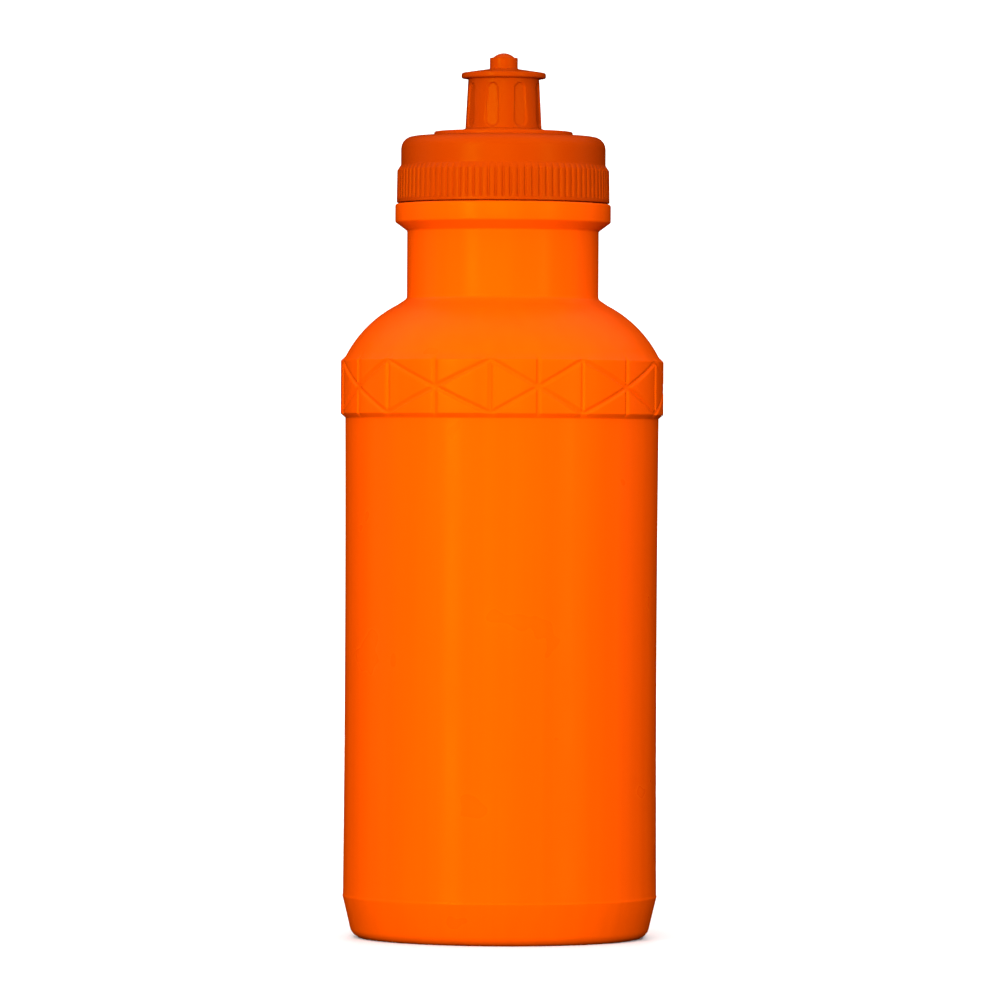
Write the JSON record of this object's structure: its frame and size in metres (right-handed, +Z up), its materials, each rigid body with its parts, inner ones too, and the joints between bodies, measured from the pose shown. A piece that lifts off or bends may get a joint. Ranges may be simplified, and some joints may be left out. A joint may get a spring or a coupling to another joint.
{
  "type": "sports squeeze bottle",
  "caption": "Squeeze bottle with a raised grip band, a ribbed screw cap and a push-pull spout that shuts on a fixed pin.",
  "frame": {"origin": "centre of the ring that the bottle stands on, at the ground", "axes": "+Z up along the bottle's axis, -Y is the front"},
  "size_m": [0.0726, 0.0726, 0.1989],
  "materials": {
    "bottle_plastic": "satin soft polyethylene",
    "cap_plastic": "satin moulded polypropylene",
    "spout_plastic": "satin moulded polyethylene",
    "seal_foam": "matte soft foam"
  },
  "bodies": {
    "bottle": {"bottle": "bottle_plastic"},
    "seal": {"cap_seal": "seal_foam"},
    "cap": {"screw_cap": "cap_plastic"},
    "spout": {"pull_spout": "spout_plastic"}
  },
  "joints": [
    {"name": "cap_lift", "type": "slide", "parent": "bottle", "child": "seal", "axis": [0, 0, 1], "range_m": [0, 0.0136]},
    {"name": "cap_turn", "type": "hinge", "parent": "seal", "child": "cap", "pos_m": [0, 0, 0.1729], "axis": [0, 0, 1], "range_deg": [0, 1080]},
    {"name": "spout_pull", "type": "slide", "parent": "cap", "child": "spout", "axis": [0, 0, 1], "range_m": [0, 0.006]}
  ],
  "couplings": [
    {"joint": "cap_lift", "follows": "cap_turn", "m_per_rad": 0.0007162}
  ]
}
